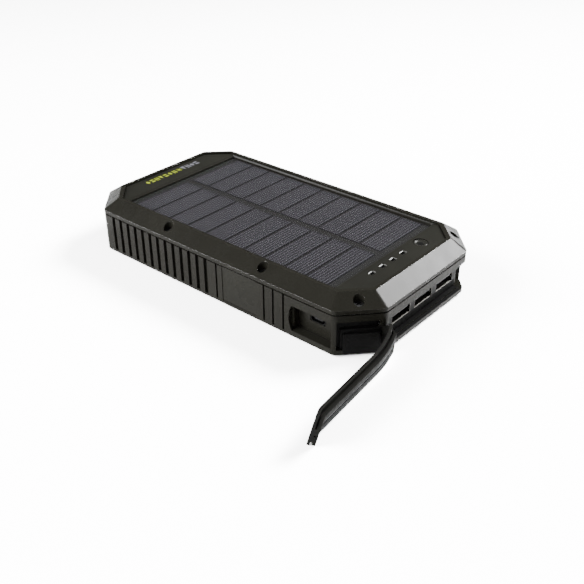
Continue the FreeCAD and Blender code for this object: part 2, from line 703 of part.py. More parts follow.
# ---------------------------------------------------------------- output
def all_parts():
    parts = {
        "lower_shell": lower_shell(),
        "top_bezel": top_bezel(),
        "seal_ring": seal_ring(),
        "case_screws": case_screws(),
        "solar_tray": solar_tray(),
        "solar_tape": solar_tape(),
        "solar_board": solar_board(),
        "solar_cells": solar_cells(),
        "solar_film": solar_film(),
        "lamp_lenses": lamp_lenses(),
        "lamp_board": lamp_board(),
        "lamps": lamps(),
        "lamp_cable": lamp_cable(),
        "power_button": power_button(),
        "switch_body": switch_body(),
        "switch_plunger": switch_plunger(),
        "port_plate": port_plate(),
        "usb_contacts": usb_contacts(),
        "micro_usb_shell": micro_usb_shell(),
        "micro_usb_tongue": micro_usb_tongue(),
        "main_board": main_board(),
        "micro_board": micro_board(),
        "board_screws": board_screws(),
        "board_chips": board_chips(),
        "inductor": inductor(),
        "capacitors": capacitors(),
        "battery_cell_lower": battery_cell(0),
        "battery_cell_upper": battery_cell(1),
        "battery_pads": battery_pads(),
        "battery_leads": battery_leads(),
        "solar_leads": solar_leads(),
        "cover_root": cover_root(),
        "cover_neck_link": opened(neck_link(), 1),
        "cover_neck_strap": opened(neck_strap(), 2),
        "cover_strap": opened(cover_strap(), 3),
        "cover_flap": opened(cover_flap(), 4),
        "cover_tip": opened(cover_tip(), 5),
    }
    for number, middle in enumerate(port_places(), start=1):
        parts["usb_shell_%d" % number] = usb_shell(middle)
        parts["usb_tongue_%d" % number] = usb_tongue(middle)
    return parts


def main():
    os.makedirs("parts", exist_ok=True)
    for name, shape in all_parts().items():
        shape.exportStep("parts/%s.step" % name)


main()
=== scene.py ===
"""Looks of the solar power bank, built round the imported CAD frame."""

import json
import math

import bmesh
import bpy
from mathutils import Matrix, Vector

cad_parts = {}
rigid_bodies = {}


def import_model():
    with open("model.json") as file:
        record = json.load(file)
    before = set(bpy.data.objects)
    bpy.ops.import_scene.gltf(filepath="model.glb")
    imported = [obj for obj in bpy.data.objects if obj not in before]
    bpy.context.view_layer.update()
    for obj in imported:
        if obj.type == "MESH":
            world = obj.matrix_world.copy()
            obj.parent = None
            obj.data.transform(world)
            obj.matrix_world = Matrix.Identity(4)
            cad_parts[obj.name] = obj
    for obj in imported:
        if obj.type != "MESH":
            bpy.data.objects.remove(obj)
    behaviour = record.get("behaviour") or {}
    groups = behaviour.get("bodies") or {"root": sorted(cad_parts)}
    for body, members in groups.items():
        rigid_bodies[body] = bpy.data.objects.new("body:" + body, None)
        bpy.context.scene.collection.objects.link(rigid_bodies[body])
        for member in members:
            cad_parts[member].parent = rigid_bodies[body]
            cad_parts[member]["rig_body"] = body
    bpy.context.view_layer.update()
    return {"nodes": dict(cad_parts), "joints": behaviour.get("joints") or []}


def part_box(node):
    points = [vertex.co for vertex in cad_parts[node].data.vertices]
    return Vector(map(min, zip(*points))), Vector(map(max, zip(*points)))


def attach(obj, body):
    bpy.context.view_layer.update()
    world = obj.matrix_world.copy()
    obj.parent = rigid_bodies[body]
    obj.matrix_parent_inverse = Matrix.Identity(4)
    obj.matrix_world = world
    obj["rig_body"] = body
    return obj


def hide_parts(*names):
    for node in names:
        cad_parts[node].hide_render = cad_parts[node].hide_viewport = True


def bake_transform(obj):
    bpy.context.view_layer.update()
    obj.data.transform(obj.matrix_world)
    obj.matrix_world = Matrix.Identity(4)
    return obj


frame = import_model()
MM = 0.001
NODES = frame["nodes"]
JOINTS = {j["name"]: j for j in frame["joints"]}


def corners_mm(node):
    """A CAD node's lowest and highest corners, in mm."""
    return [[round(v / MM, 3) for v in corner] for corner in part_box(node)]


# ------------------------------------------------------------------ node materials
class Shader:
    """A small helper round one node tree."""

    def __init__(self, name, **values):
        self.mat = bpy.data.materials.new(name)
        self.mat.use_nodes = True
        self.nodes = self.mat.node_tree.nodes
        self.links = self.mat.node_tree.links
        self.bsdf = self.nodes["Principled BSDF"]
        for key, value in values.items():
            self.bsdf.inputs[key.replace("_", " ")].default_value = value

    def add(self, kind, **settings):
        node = self.nodes.new(kind)
        for key, value in settings.items():
            setattr(node, key, value)
        return node

    def join(self, source, target):
        self.links.new(source, target)

    def coords(self, scale=(1, 1, 1)):
        """Object coordinates in metres, scaled along each axis."""
        tc = self.add("ShaderNodeTexCoord")
        mapping = self.add("ShaderNodeMapping")
        mapping.inputs["Scale"].default_value = scale
        self.join(tc.outputs["Object"], mapping.inputs["Vector"])
        return mapping.outputs["Vector"]

    def noise(self, scale, detail=4.0, rough=0.55, vector=None):
        node = self.add("ShaderNodeTexNoise")
        node.inputs["Scale"].default_value = scale
        node.inputs["Detail"].default_value = detail
        node.inputs["Roughness"].default_value = rough
        self.join(vector if vector is not None else self.coords(), node.inputs["Vector"])
        return node.outputs["Fac"]

    def ramp(self, fac, stops):
        """A colour ramp; stops hold (place, colour)."""
        node = self.add("ShaderNodeValToRGB")
        for element, (place, colour) in zip(node.color_ramp.elements, stops):
            element.position = place
            element.color = (*colour, 1)
        self.join(fac, node.inputs["Fac"])
        return node.outputs["Color"]

    def remap(self, fac, low, high):
        """Stretches a value between 0 and 1 to lie between low and high."""
        node = self.add("ShaderNodeMapRange")
        node.inputs["To Min"].default_value = low
        node.inputs["To Max"].default_value = high
        self.join(fac, node.inputs["Value"])
        return node.outputs["Result"]

    def bump(self, height, distance, strength):
        node = self.add("ShaderNodeBump")
        node.inputs["Strength"].default_value = strength
        node.inputs["Distance"].default_value = distance
        self.join(height, node.inputs["Height"])
        self.join(node.outputs["Normal"], self.bsdf.inputs["Normal"])

    def colour(self, socket):
        self.join(socket, self.bsdf.inputs["Base Color"])

    def rough(self, socket):
        self.join(socket, self.bsdf.inputs["Roughness"])


DEEPEN = 0.29
GRAIN_SCALE = 2600.0
GRAIN_DEPTH = 0.000007
RUBBER_GRAIN_SCALE = 1500.0
RUBBER_GRAIN_DEPTH = 0.000012
STREAK_DEPTH = 0.00001
FLAKE_SCALE = 200.0


def deep(colour):
    """The lamps are strong, for a white floor, so the object's colours are deepened to suit them."""
    return tuple(DEEPEN * c for c in colour)


def moulded_plastic(name, base, light, rough, specular=0.5):
    """Satin moulded plastic: spark-eroded grain, faint cloudiness and patches of duller gloss."""
    s = Shader(name, Specular_IOR_Level=DEEPEN * specular)
    s.colour(s.ramp(s.noise(45.0, 5.0), [(0.3, deep(base)), (0.75, deep(light))]))
    grain = s.noise(GRAIN_SCALE, 2.0, 0.6)
    s.rough(s.remap(s.noise(120.0, 3.0), rough - 0.05, rough + 0.07))
    s.bump(grain, GRAIN_DEPTH, 0.6)
    return s.mat


def rubber(name, base, light, specular=0.018):
    """Dull rubber with a coarser grain."""
    s = Shader(name, Specular_IOR_Level=DEEPEN * specular)
    s.colour(s.ramp(s.noise(70.0, 5.0), [(0.3, deep(base)), (0.8, deep(light))]))
    s.rough(s.remap(s.noise(160.0, 3.0), 0.5, 0.66))
    s.bump(s.noise(RUBBER_GRAIN_SCALE, 3.0, 0.6), RUBBER_GRAIN_DEPTH, 0.6)
    return s.mat


def metal(name, base, rough, along=(400, 20, 400)):
    """Metal with fine streaks, long where the scale along an axis is small."""
    s = Shader(name, Metallic=1.0)
    streak = s.noise(1.0, 3.0, 0.5, s.coords(along))
    s.colour(s.ramp(streak, [(0.25, deep(0.86 * c for c in base)), (0.8, deep(base))]))
    s.rough(s.remap(streak, rough - 0.06, rough + 0.1))
    s.bump(streak, STREAK_DEPTH, 0.4)
    return s.mat


def solar_silicon():
    """Cell surface: crystal flakes and a little blue-violet."""
    s = Shader("solar_silicon", Specular_IOR_Level=0.03)
    flakes = s.add("ShaderNodeTexVoronoi", feature="F1")
    flakes.inputs["Scale"].default_value = FLAKE_SCALE
    s.join(s.coords((1, 0.45, 1)), flakes.inputs["Vector"])
    parts = s.add("ShaderNodeSeparateColor")
    s.join(flakes.outputs["Color"], parts.inputs["Color"])
    dark, light = (0.0024, 0.0023, 0.0030), (0.0034, 0.0032, 0.0042)
    s.colour(s.ramp(parts.outputs["Red"], [(0.0, deep(dark)), (1.0, deep(light))]))
    s.rough(s.remap(s.noise(90.0, 3.0), 0.32, 0.42))
    return s.mat


def clear_film():
    """The clear resin skin over the cells: only its gloss shows."""
    s = Shader("solar_film", Base_Color=(0.006, 0.006, 0.0065, 1), Alpha=0.05, Specular_IOR_Level=0.15)
    s.rough(s.remap(s.noise(120.0, 4.0), 0.24, 0.32))
    return s.mat


CASE = moulded_plastic("case_plastic", (0.0074, 0.0072, 0.0057), (0.0098, 0.0096, 0.0076), 0.26, 0.045)
# Painted highlight: the bevels get a copy of the case plastic painted lighter, and made glossier, so every
# edge shows a light line.
EDGE_HIGHLIGHT = moulded_plastic("case_edge_painted_highlight", (0.0090, 0.0088, 0.0070), (0.0120, 0.0118, 0.0094), 0.22, 1.1)
TRAY = moulded_plastic("tray_plastic", (0.0066, 0.0066, 0.0052), (0.0096, 0.0096, 0.0077), 0.36, 0.09)
BUTTON = moulded_plastic("button_plastic", (0.0095, 0.0095, 0.008), (0.012, 0.012, 0.010), 0.28, 0.15)
# Black for the button's star icon; also used for the painted shade under the sockets.
ICON_AND_SHADE_BLACK = moulded_plastic("icon_and_painted_shade_black", (0.0006, 0.0006, 0.0006), (0.001, 0.001, 0.001), 0.6, 0.05)
PORT = moulded_plastic("port_plastic", (0.0035, 0.0035, 0.0035), (0.0070, 0.0070, 0.0070), 0.36, 0.05)
TONGUE = moulded_plastic("tongue_plastic", (0.010, 0.010, 0.010), (0.014, 0.014, 0.014), 0.4, 0.12)
CHIP = moulded_plastic("chip_black", (0.012, 0.012, 0.012), (0.02, 0.02, 0.02), 0.45)
BACKING = moulded_plastic("solar_board", (0.0062, 0.0062, 0.0056), (0.0080, 0.0080, 0.0072), 0.40, 0.2)
GREEN = moulded_plastic("board_green", (0.01, 0.09, 0.035), (0.02, 0.12, 0.05), 0.3)
FOAM = moulded_plastic("foam", (0.02, 0.02, 0.02), (0.04, 0.04, 0.04), 0.85)
TAPE = moulded_plastic("tape", (0.7, 0.68, 0.62), (0.8, 0.78, 0.72), 0.7)
LEAD = moulded_plastic("lead_red", (0.4, 0.02, 0.02), (0.5, 0.04, 0.03), 0.4)
LENS = moulded_plastic("lamp_lens", (0.001, 0.001, 0.001), (0.002, 0.002, 0.002), 0.35, 0.03)
WHITE = moulded_plastic("lamp_chip", (0.8, 0.78, 0.6), (0.85, 0.83, 0.7), 0.5)
PRINT_LIME = moulded_plastic("print_lime", (0.13, 0.16, 0.010), (0.17, 0.20, 0.015), 0.5, 0.2)
PRINT_GREY = moulded_plastic("print_grey", (0.065, 0.065, 0.075), (0.085, 0.085, 0.095), 0.5, 0.2)
FINGER = moulded_plastic("cell_finger", (0.068, 0.066, 0.075), (0.082, 0.080, 0.091), 0.42, 0.08)
RUBBER = rubber("cover_rubber", (0.0052, 0.0052, 0.0046), (0.0078, 0.0078, 0.0071))
# Painted shade: the pad is the cover's own rubber, painted about three times darker because it sits in shade
# at the corner.
SHADED_PAD_RUBBER = rubber("cover_root_rubber_painted_shade", (0.0016, 0.0016, 0.0016), (0.0026, 0.0026, 0.0026), 0.05)
SEAL = rubber("seal_rubber", (0.004, 0.004, 0.004), (0.007, 0.007, 0.007))
STEEL = metal("shell_steel", (0.26, 0.255, 0.225), 0.24)
RIM = metal("rim_steel", (0.034, 0.033, 0.028), 0.3)
SCREW = metal("screw_steel", (0.09, 0.09, 0.093), 0.4, (600, 600, 600))
BRASS = metal("contact_brass", (0.10, 0.075, 0.035), 0.3)
CAN = metal("can_aluminium", (0.75, 0.75, 0.76), 0.3)
POUCH = metal("pouch", (0.62, 0.63, 0.65), 0.4, (60, 60, 60))
DARK_STEEL = metal("socket_steel", (0.012, 0.012, 0.012), 0.5)
SILICON = solar_silicon()
FILM = clear_film()


# ------------------------------------------------------------------ meshes
def paint(obj, material):
    obj.data.materials.clear()
    obj.data.materials.append(material)


def shade(obj, angle):
    """Smooth shading that keeps edges sharper than angle."""
    bm = bmesh.new()
    bm.from_mesh(obj.data)
    limit = math.radians(angle)
    for face in bm.faces:
        face.smooth = True
    for edge in bm.edges:
        edge.smooth = len(edge.link_faces) == 2 and edge.calc_face_angle(0) < limit
    bm.to_mesh(obj.data)
    bm.free()


def piece(name, bm, material, body, smooth=30.0):
    """Links a mesh as a finished piece that rides on a body, or on none yet."""
    mesh = bpy.data.meshes.new(name)
    bm.to_mesh(mesh)
    bm.free()
    obj = bpy.data.objects.new(name, mesh)
    bpy.context.scene.collection.objects.link(obj)
    paint(obj, material)
    shade(obj, smooth)
    if body:
        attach(obj, body)
    return obj


def apply_modifiers(obj):
    graph = bpy.context.evaluated_depsgraph_get()
    mesh = bpy.data.meshes.new_from_object(obj.evaluated_get(graph))
    obj.modifiers.clear()
    obj.data = mesh


WELD = 2e-6
FLAT_ANGLE = 0.6
BEVEL_ANGLE = 28.0


def softened(node, material, width, segments, merge=True, edge=None):
    """A copy of a CAD node's shape with its sharp edges rounded, standing for that node."""
    source = NODES[node]
    bm = bmesh.new()
    bm.from_mesh(source.data)
    bmesh.ops.remove_doubles(bm, verts=bm.verts, dist=WELD)
    bmesh.ops.dissolve_degenerate(bm, edges=bm.edges, dist=WELD)
    if merge:
        bmesh.ops.dissolve_limit(bm, angle_limit=math.radians(FLAT_ANGLE), verts=bm.verts, edges=bm.edges,
                                 delimit=set())
    obj = piece(node + "_soft", bm, material, None)
    bevel = obj.modifiers.new("bevel", "BEVEL")
    bevel.width = width * MM
    bevel.segments = segments
    bevel.limit_method = "ANGLE"
    bevel.angle_limit = math.radians(BEVEL_ANGLE)
    bevel.miter_outer = "MITER_ARC"
    # The edge material goes on the bevels only: a lighter, glossier copy of the plastic, as a painted
    # highlight along the edges.
    if edge:
        obj.data.materials.append(edge)
        bevel.material = 1
    apply_modifiers(obj)
    shade(obj, 40.0)
    weighted = obj.modifiers.new("flat_faces", "WEIGHTED_NORMAL")
    weighted.weight = 100
    weighted.keep_sharp = True
    apply_modifiers(obj)
    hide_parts(node)
    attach(obj, source["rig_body"])


def prism(bm, outline, low, high):
    """An upright block on an outline of (x, y) points in mm."""
    rings = [[bm.verts.new((x * MM, y * MM, z * MM)) for x, y in outline] for z in (low, high)]
    bm.faces.new(list(reversed(rings[0])))
    bm.faces.new(rings[1])
    for i in range(len(outline)):
        j = (i + 1) % len(outline)
        bm.faces.new((rings[0][i], rings[0][j], rings[1][j], rings[1][i]))


def block(bm, x0, x1, y0, y1, low, high):
    """An upright block between two corners in mm."""
    prism(bm, [(x0, y0), (x1, y0), (x1, y1), (x0, y1)], low, high)


def skin_loops(bm, loops):
    """Joins rings of points into a closed shape with flat ends."""
    for lower, upper in zip(loops, loops[1:]):
        for i in range(len(lower)):
            j = (i + 1) % len(lower)
            bm.faces.new((lower[i], lower[j], upper[j], upper[i]))
    bm.faces.new(list(reversed(loops[0])))
    bm.faces.new(loops[-1])
    bmesh.ops.recalc_face_normals(bm, faces=bm.faces)


def lathe(bm, centre, profile, steps):
    """A turned shape round an upright axis; profile holds (radius, z) in mm, from axis to axis."""
    columns = []
    for radius, z in profile:
        if radius == 0:
            columns.append([bm.verts.new((centre[0] * MM, centre[1] * MM, z * MM))])
            continue
        turns = [2 * math.pi * i / steps for i in range(steps)]
        columns.append([bm.verts.new(((centre[0] + radius * math.cos(t)) * MM,
                                      (centre[1] + radius * math.sin(t)) * MM, z * MM)) for t in turns])
    for lower, upper in zip(columns, columns[1:]):
        for i in range(steps):
            j = (i + 1) % steps
            corners = [lower[i % len(lower)], lower[j % len(lower)],
                       upper[j % len(upper)], upper[i % len(upper)]]
            bm.faces.new(list(dict.fromkeys(corners)))


def rounded(points, radius, steps=3):
    """A closed outline with its corners rounded."""
    result = []
    for i, point in enumerate(points):
        corner = Vector(point)
        back = Vector(points[i - 1]) - corner
        ahead = Vector(points[(i + 1) % len(points)]) - corner
        half = back.angle(ahead) / 2
        reach = min(radius / math.tan(half), 0.45 * back.length, 0.45 * ahead.length)
        start, end = corner + back.normalized() * reach, corner + ahead.normalized() * reach
        for k in range(steps + 1):
            t = k / steps
            result.append(tuple(start * (1 - t) ** 2 + corner * 2 * t * (1 - t) + end * t ** 2))
    return result


# ------------------------------------------------------------------ case
softened("top_bezel", CASE, 0.42, 3, edge=EDGE_HIGHLIGHT)
softened("lower_shell", CASE, 0.25, 2, merge=False)
softened("solar_tray", TRAY, 0.18, 2)
softened("port_plate", PORT, 0.15, 2, merge=False)


# ------------------------------------------------------------------ solar panel
FILM_CORNER = 0.6
FILM_STEPS = [(0.0, 0.13, 0.03), (0.12, 0.03, 0.0)]  # inset, then bottom and top below the film's top
CELLS_IN_ROW = 10
CELL_PITCH = 11.45
FINGERS = 7
FINGER_PITCH = 1.47
FINGER_HALF_WIDTH = 0.17
FINGER_ENDS = (2.1, 33.9)  # distances from the middle line of the panel
FINGER_SINK, FINGER_RISE = 0.01, 0.025


def film_sheet():
    x_side, y_side, film_top = corners_mm("solar_film")[1]
    bm = bmesh.new()
    for inset, bottom, top in FILM_STEPS:
        x, y = x_side - inset, y_side - inset
        outline = rounded([(x, -y), (x, y), (-x, y), (-x, -y)], FILM_CORNER)
        prism(bm, outline, film_top - bottom, film_top - top)
    sheet = piece("solar_film_sheet", bm, FILM, "case")
    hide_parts("solar_film")


def collector_fingers():
    """The fine silver lines printed along each cell."""
    cell_top = corners_mm("solar_cells")[1][2]
    bm = bmesh.new()
    for side in (-1, 1):
        y0, y1 = sorted(side * end for end in FINGER_ENDS)
        for cell in range(CELLS_IN_ROW):
            middle = (cell - (CELLS_IN_ROW - 1) / 2) * CELL_PITCH
            for k in range(FINGERS):
                x = middle + (k - (FINGERS - 1) / 2) * FINGER_PITCH
                block(bm, x - FINGER_HALF_WIDTH, x + FINGER_HALF_WIDTH, y0, y1,
                      cell_top - FINGER_SINK, cell_top + FINGER_RISE)
    piece("collector_fingers", bm, FINGER, "case")


film_sheet()
collector_fingers()


# ------------------------------------------------------------------ name strip marks
TRAY_TOP = corners_mm("solar_tray")[1][2]
PRINT = (TRAY_TOP - 0.01, TRAY_TOP + 0.04)
BARS = [[(0.0, 0.0), (0.2, 0.0), (0.2, 1.0), (0.0, 1.0)], [(0.4, 0.0), (0.6, 0.0), (0.6, 1.0), (0.4, 1.0)]]
DASHES = [[(0.0, 0.05), (0.64, 0.05), (0.64, 0.38), (0.0, 0.38)],
          [(0.0, 0.62), (0.64, 0.62), (0.64, 0.95), (0.0, 0.95)]]
DIAMOND = [[(0.0, 0.5), (0.32, 0.0), (0.64, 0.5), (0.32, 1.0)]]
WEDGE = [[(0.0, 0.0), (0.66, 0.0), (0.33, 1.0)]]
MARK_PITCH = 2.9
SUN_CENTRE = (-69.2, 4.3)
SUN_RADIUS = 0.75
SUN_RAY = [(1.05, -0.16), (1.75, -0.10), (1.75, 0.10), (1.05, 0.16)]  # outwards and sideways


def printed_row(name, marks, x, y_start, size, material):
    """Flat printed marks in a row; their points run along -Y and across X, in units of size."""
    bm = bmesh.new()
    for i, shapes in enumerate(marks):
        y = y_start - i * MARK_PITCH
        for points in shapes:
            prism(bm, [(x + v * size, y - u * size) for u, v in points], *PRINT)
    piece(name, bm, material, "case")


def sun_mark():
    bm = bmesh.new()
    x, y = SUN_CENTRE
    turns = [k * math.pi / 8 for k in range(16)]
    prism(bm, [(x + SUN_RADIUS * math.cos(t), y + SUN_RADIUS * math.sin(t)) for t in turns], *PRINT)
    for turn in turns[::2]:
        way, side = (math.cos(turn), math.sin(turn)), (-math.sin(turn), math.cos(turn))
        prism(bm, [(x + a * way[0] + b * side[0], y + a * way[1] + b * side[1]) for a, b in SUN_RAY], *PRINT)
    piece("sun_mark", bm, PRINT_LIME, "case")


printed_row("lime_marks", [BARS, DIAMOND, DASHES, WEDGE, BARS, DASHES, DIAMOND], -70.7, 2.0, 3.2, PRINT_LIME)
printed_row("grey_marks", [DASHES, DIAMOND, BARS, WEDGE], -71.0, 17.3, 3.6, PRINT_GREY)
sun_mark()


# ------------------------------------------------------------------ lamps and button
LAMP_X = 66.0
LAMP_ROWS = (-16.9, -9.5, -2.2, 5.1)
WINDOW_CORNER = 0.25
FUNNEL_RINGS = [(1.13, 1.58, 24.3), (1.13, 1.58, 25.22), (1.10, 1.55, 25.27), (0.80, 1.36, 25.02),
                (0.78, 1.34, 24.4)]
LENS_RINGS = [(0.79, 1.35, 22.0), (0.79, 1.35, 24.70), (0.65, 1.20, 24.80)]
CAP_PROFILE = [(0.0, 21.5), (4.1, 21.5), (4.1, 22.1), (3.1, 22.1), (3.1, 24.85), (3.02, 25.0),
               (2.88, 25.06), (2.72, 25.02), (2.05, 24.62), (1.9, 24.58), (0.0, 24.60)]
STAR_RADII = (1.85, 0.8)
STAR_LOW, STAR_HIGH = 24.58, 24.68


def funnel(bm, x, y, rings):
    """A closed rectangular funnel; rings hold (half x, half y, z)."""
    loops = []
    for half_x, half_y, z in rings:
        corners = [(half_x, -half_y), (half_x, half_y), (-half_x, half_y), (-half_x, -half_y)]
        outline = rounded(corners, WINDOW_CORNER)
        loops.append([bm.verts.new(((x + u) * MM, (y + v) * MM, z * MM)) for u, v in outline])
    skin_loops(bm, loops)


def lamp_windows():
    """Each lamp sits at the bottom of a small sloping funnel."""
    funnels = bmesh.new()
    lenses = bmesh.new()
    for y in LAMP_ROWS:
        funnel(funnels, LAMP_X, y, FUNNEL_RINGS)
        funnel(lenses, LAMP_X, y, LENS_RINGS)
    piece("lamp_funnels", funnels, BUTTON, "case", 20)
    lens = piece("lamp_domes", lenses, LENS, "case", 50)
    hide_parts("lamp_lenses")


def button_cap():
    """A dished cap with a small star sunk in it."""
    low, high = corners_mm("power_button")
    centre = [round((a + b) / 2, 3) for a, b in zip(low[:2], high[:2])]
    bm = bmesh.new()
    lathe(bm, centre, CAP_PROFILE, 48)
    cap = piece("button_cap", bm, BUTTON, "button", 50)
    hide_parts("power_button")
    bm = bmesh.new()
    points = [(STAR_RADII[k % 2], k * math.pi / 8) for k in range(16)]
    star = [(centre[0] + r * math.cos(t), centre[1] + r * math.sin(t)) for r, t in points]
    prism(bm, star, STAR_LOW, STAR_HIGH)
    piece("button_icon", bm, ICON_AND_SHADE_BLACK, "button")


lamp_windows()
button_cap()


# ------------------------------------------------------------------ sockets
# Thin near-black sheets laid on the port plate below the sockets: painted shade.
SHADE_SHEET_SIDES = (-25.4, 27.8)
SHADE_SHEETS = [(78.95, 79.06, 3.95, 7.45), (79.0, 80.95, 3.85, 3.97), (80.95, 82.3, 3.15, 3.27)]
RIM_BACK, RIM_FRONT = 0.05, 0.27
RIM_BELOW, RIM_ABOVE = 0.12, 0.10
RIM_IN, RIM_OUT = 0.11, 0.03


def port_painted_shade():
    """Painted shade under the sockets: thin near-black sheets on the plate's back and its two treads, where
    shade falls.
    """
    bm = bmesh.new()
    for x0, x1, low, high in SHADE_SHEETS:
        block(bm, x0, x1, *SHADE_SHEET_SIDES, low, high)
    piece("port_painted_shade", bm, ICON_AND_SHADE_BLACK, "case")


def socket_rims():
    """The bright flared lip round each USB-A mouth: its lower edge and both ends."""
    bm = bmesh.new()
    for number in (1, 2, 3):
        (_, y0, z0), (x1, y1, z1) = corners_mm("usb_shell_%d" % number)
        back, front = x1 - RIM_BACK, x1 + RIM_FRONT
        bottom, top = z0 - RIM_BELOW, z1 + RIM_ABOVE
        block(bm, back, front, y0, y1, bottom, z0)
        block(bm, back, front, y1 - RIM_IN, y1 + RIM_OUT, bottom, top)
        block(bm, back, front, y0 - RIM_OUT, y0 + RIM_IN, bottom, top)
    piece("usb_rims", bm, RIM, "case")


port_painted_shade()
socket_rims()


# ------------------------------------------------------------------ rubber port cover
FACET_START = (68.4, -45.0)
FACET_X, FACET_Y = 14.1, 15.1
PAD_BEVEL, PAD_CORNER = 0.16, 0.5
PAD_STEPS = [(1.6, 18.3, 3.5, 15.9, 2.2, 1.7), (2.9, 19.4, 3.2, 12.6, 1.8, 0.75),
             (4.0, 19.1, 1.4, 10.8, 1.8, -0.1)]  # left, right, bottom, top; back and front depth

COVER_BODIES = ["case", "neck_link", "neck_strap", "strap", "flap", "tip"]
COVER_JOINTS = ["cover_root_flex", "cover_neck_flex", "cover_strap_flex", "cover_flap_flex", "cover_tip_flex"]
COVER_NODES = ["cover_neck_link", "cover_neck_strap", "cover_strap", "cover_flap", "cover_tip"]
COVER_MIDDLE = 9
CLOSED_PIVOTS = [(81.6, -29.545), (81.6, -26.6), (82.2, -22.9), (82.2, -11.4), (82.2, 29.9)]
PIVOT_DEPTH = [0.9, 0.9, 0.3, 0.3, 0.3]
PIVOT_DISTANCE = [0, 2.945, 6.69, 99, 99]  # along the cover; 99 is anywhere past the neck
BEND_BEFORE = [1.2, 1.45, 1.8, 5.2, 1.6]
BEND_AFTER = [1.45, 1.8, 5.2, 6.0, 1.6]
ROOT_LENGTH, TIP_LENGTH = 2.4, 6.4
SKIN = [(0.1, 3.5), (1.2, 3.5), (1.2, 15.9), (0.1, 15.9)]  # (depth below the outer face, height)
RIB = [(1.1, 5.4), (1.9, 5.4), (1.9, 4.2), (3.2, 4.2), (3.2, 8.55), (1.6, 8.55), (1.6, 9.45), (3.2, 9.45),
       (3.2, 13.8), (1.9, 13.8), (1.9, 12.6), (1.1, 12.6)]
SKIN_GROWS = (1.9, 4.4)  # distances along the cover between which the neck widens
RIB_GROWS = (4.5, 6.4)
NECK_CORNER = (0.9, 4.6)  # where the skin's first corner lies in the neck
NECK_SIZE = (0.516, 0.71)  # the neck's thickness and height against the full section
SECTION_CORNER = 0.10
SHORTEST_RUN = 0.02


def root_pad():
    """The cover's fixed end: a rubber pad over the left corner, stepped at its top and one side; its rubber
    is painted darker than the cover's, as painted shade.
    """
    along, across = Vector((FACET_X, FACET_Y, 0)).normalized(), Vector((-FACET_Y, FACET_X, 0)).normalized()
    origin = Vector((*FACET_START, 0))
    bm = bmesh.new()
    for left, right, bottom, top, back, front in PAD_STEPS:
        loops = []
        for inset, depth in ((0, back), (0, front + PAD_BEVEL), (PAD_BEVEL, front)):
            outline = [(left + inset, bottom + inset), (right - inset, bottom + inset),
                       (right - inset, top - inset), (left + inset, top - inset)]
            places = [(origin + along * a + across * depth, z) for a, z in rounded(outline, PAD_CORNER)]
            loops.append([bm.verts.new((place.x * MM, place.y * MM, z * MM)) for place, z in places])
        skin_loops(bm, loops)
    pad = piece("port_cover_root", bm, SHADED_PAD_RUBBER, "case", 40)
    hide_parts("cover_root")


def opened(count):
    """Carries the closed cover's geometry to the open pose, through its first flex lines."""
    closing = Matrix.Identity(4)
    for name in COVER_JOINTS[:count]:
        joint = JOINTS[name]
        place = Matrix.Translation(Vector(joint["pos_m"]))
        turn = Matrix.Rotation(math.radians(joint["range_deg"][1]), 4, Vector(joint["axis"]))
        closing = closing @ place @ turn @ place.inverted()
    return closing.inverted()


class CoverPath:
    """The cover's open path: a line through the flex points with each bend rounded."""

    def __init__(self):
        moves = [opened(k) for k in range(len(COVER_BODIES))]
        closed = [Vector((x, y, COVER_MIDDLE)) * MM for x, y in CLOSED_PIVOTS]
        self.pivots = [move @ pivot for move, pivot in zip(moves, closed)]
        self.turns = [m.to_quaternion() for m in moves]
        corner = Matrix.Rotation(math.atan2(FACET_X, FACET_Y), 4, "Z").to_quaternion()
        self.turns[0] = corner.inverted()
        self.turns[-1] = self.turns[-1] @ corner
        start = self.pivots[0] - self.turns[0] @ Vector((0, ROOT_LENGTH * MM, 0))
        end = self.pivots[-1] + self.turns[-1] @ Vector((0, TIP_LENGTH * MM, 0))
        stops = [start] + self.pivots + [end]
        self.ways = [(b - a).normalized() for a, b in zip(stops, stops[1:])]
        self.neck = (self.pivots[2] - self.pivots[1]).length

    def depth(self, pivot, offset):
        """The depth of the path line below the cover's outer face; it changes along the neck."""
        change = (PIVOT_DEPTH[1] - PIVOT_DEPTH[2]) * abs(offset) * MM / self.neck
        if pivot == 1 and offset > 0:
            return PIVOT_DEPTH[1] - change
        if pivot == 2 and offset < 0:
            return PIVOT_DEPTH[2] + change
        return PIVOT_DEPTH[pivot]

    def bend(self, pivot, steps=10):
        """Rings (point, turn, line depth, distance from the first pivot) through one bend."""
        before, after = BEND_BEFORE[pivot], BEND_AFTER[pivot]
        a, b = self.ways[pivot], self.ways[pivot + 1]
        middle = self.pivots[pivot]
        first, last = middle - a * before * MM, middle + b * after * MM
        rings = []
        for k in range(steps + 1):
            t = k / steps
            point = first * (1 - t) ** 2 + middle * 2 * t * (1 - t) + last * t ** 2
            tangent = a * before * (1 - t) + b * after * t
            share = a.angle(tangent, 0) / a.angle(b) if 0 < k < steps else t
            turn = self.turns[pivot].slerp(self.turns[pivot + 1], share)
            depth = (1 - t) * self.depth(pivot, -before) + t * self.depth(pivot, after)
            offset = -before * (1 - t) ** 2 + after * t ** 2
            rings.append((point, turn, depth, offset + PIVOT_DISTANCE[pivot]))
        return rings

    def straight(self, pivot, offset):
        """One ring on the line, offset (mm) from a pivot, with the turn of the body it is on."""
        side = 1 if offset > 0 else 0
        point = self.pivots[pivot] + self.ways[pivot + side] * offset * MM
        return (point, self.turns[pivot + side], self.depth(pivot, offset), offset + PIVOT_DISTANCE[pivot])


